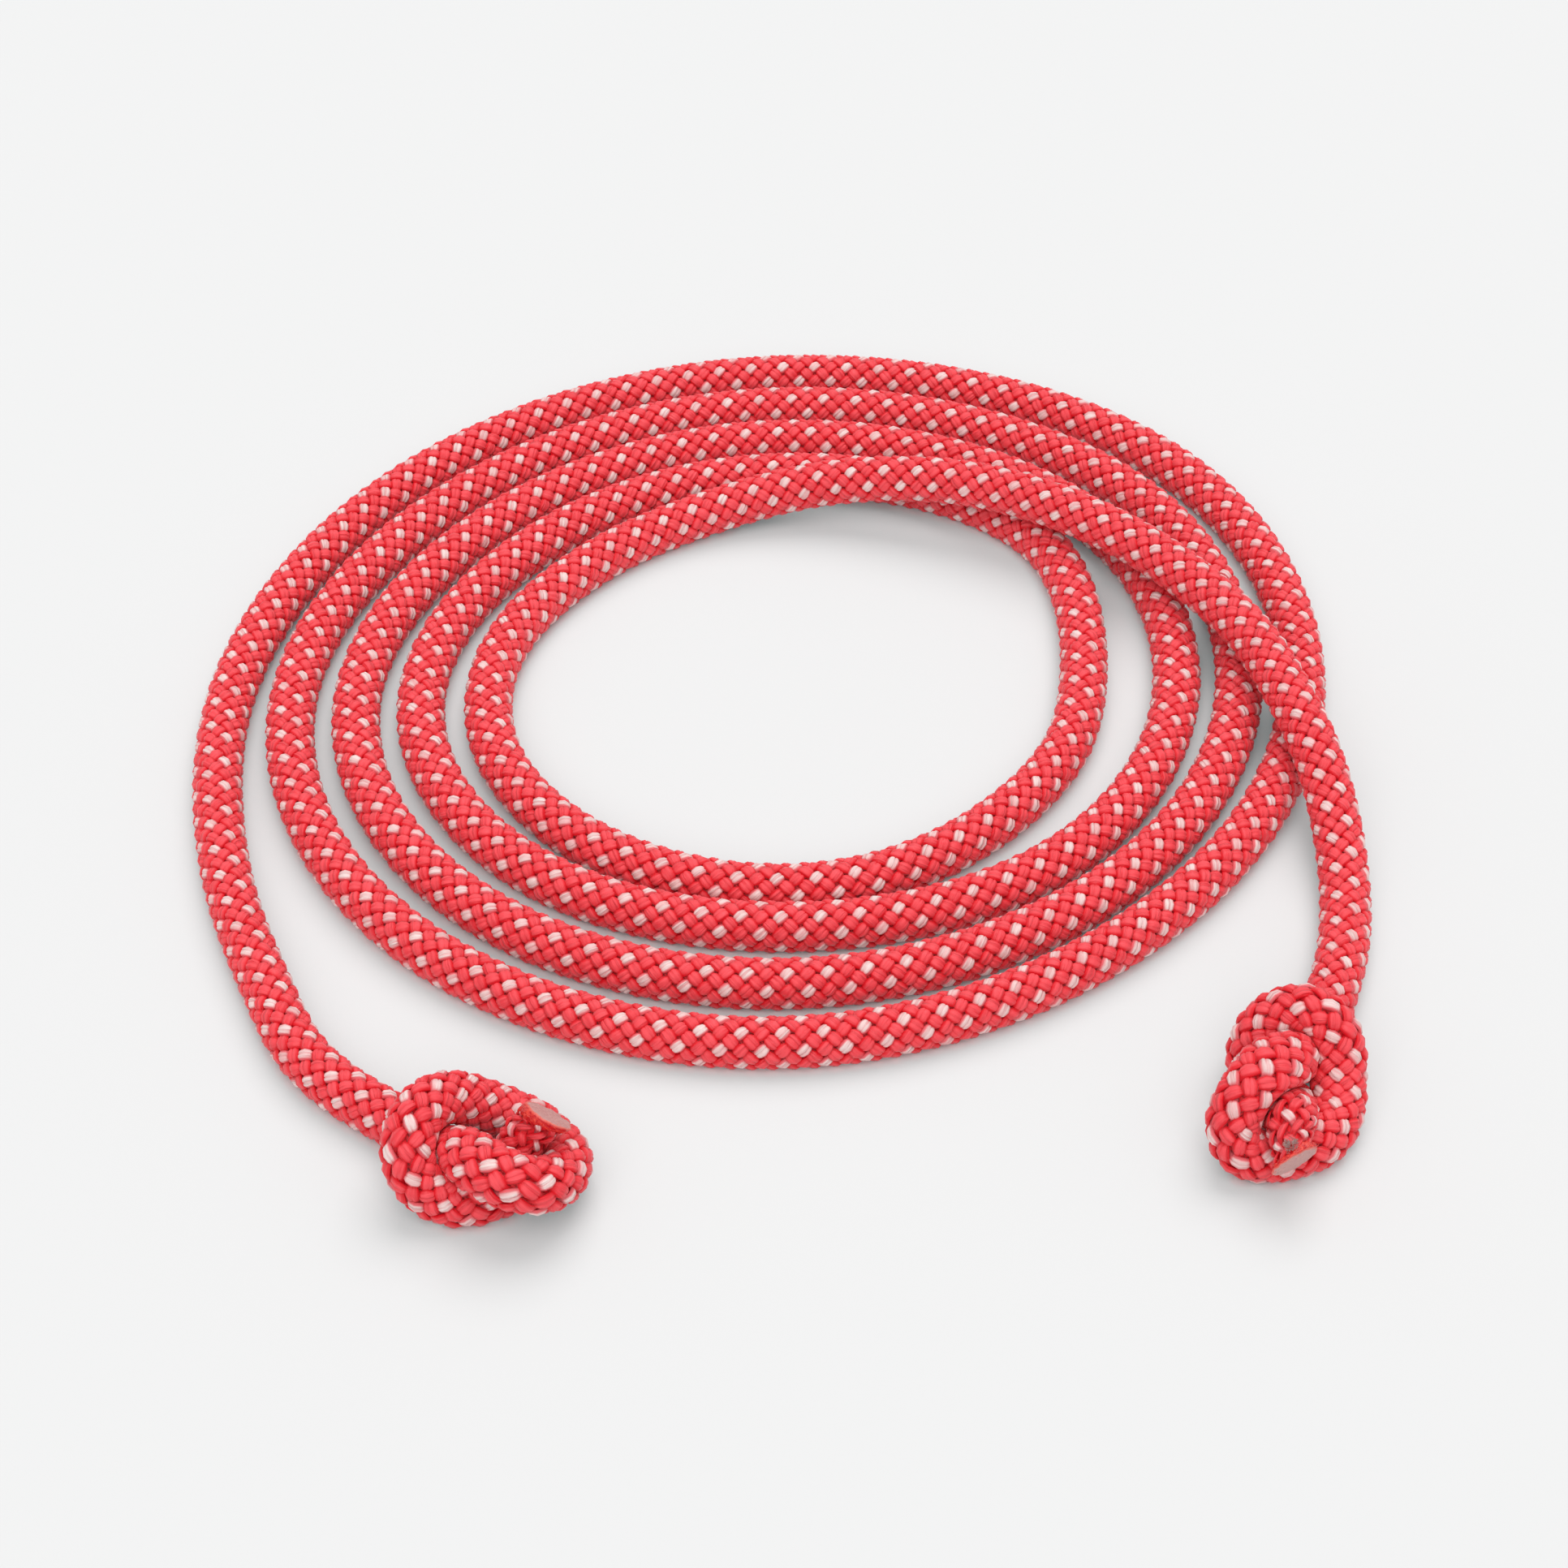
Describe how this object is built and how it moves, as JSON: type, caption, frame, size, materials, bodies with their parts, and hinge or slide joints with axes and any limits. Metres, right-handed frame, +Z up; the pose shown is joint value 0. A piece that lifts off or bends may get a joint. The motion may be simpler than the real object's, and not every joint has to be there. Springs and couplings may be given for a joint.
{
  "type": "rope",
  "caption": "Short kernmantle rope lying in a loose flat spiral, its inner end crossing over the coil, with a stopper knot and a heat-sealed cut in each end",
  "frame": {"origin": "on the surface the rope lies on, under the middle of its outline", "axes": "+Z up, the rope's thickness direction as it lies; +X towards the right knot's side; +Y away from both knots"},
  "size_m": [0.2385, 0.2696, 0.0223],
  "materials": {
    "sheath": "satin polyamide braid, coral red with spaced off-white ticks",
    "core": "off-white polyamide strands",
    "seal": "melted and fused polyamide, pinkish with a red rim"
  },
  "bodies": {
    "root": {"sheath_left_knot": "sheath", "core_left_knot": "core", "sheath_left_tail": "sheath", "core_left_tail": "core", "sheath_coil": "sheath", "core_coil": "core", "sheath_inner_end": "sheath", "core_inner_end": "core", "sheath_right_knot": "sheath", "core_right_knot": "core", "sealed_end_left": "seal", "sealed_end_right": "seal"}
  },
  "joints": []
}
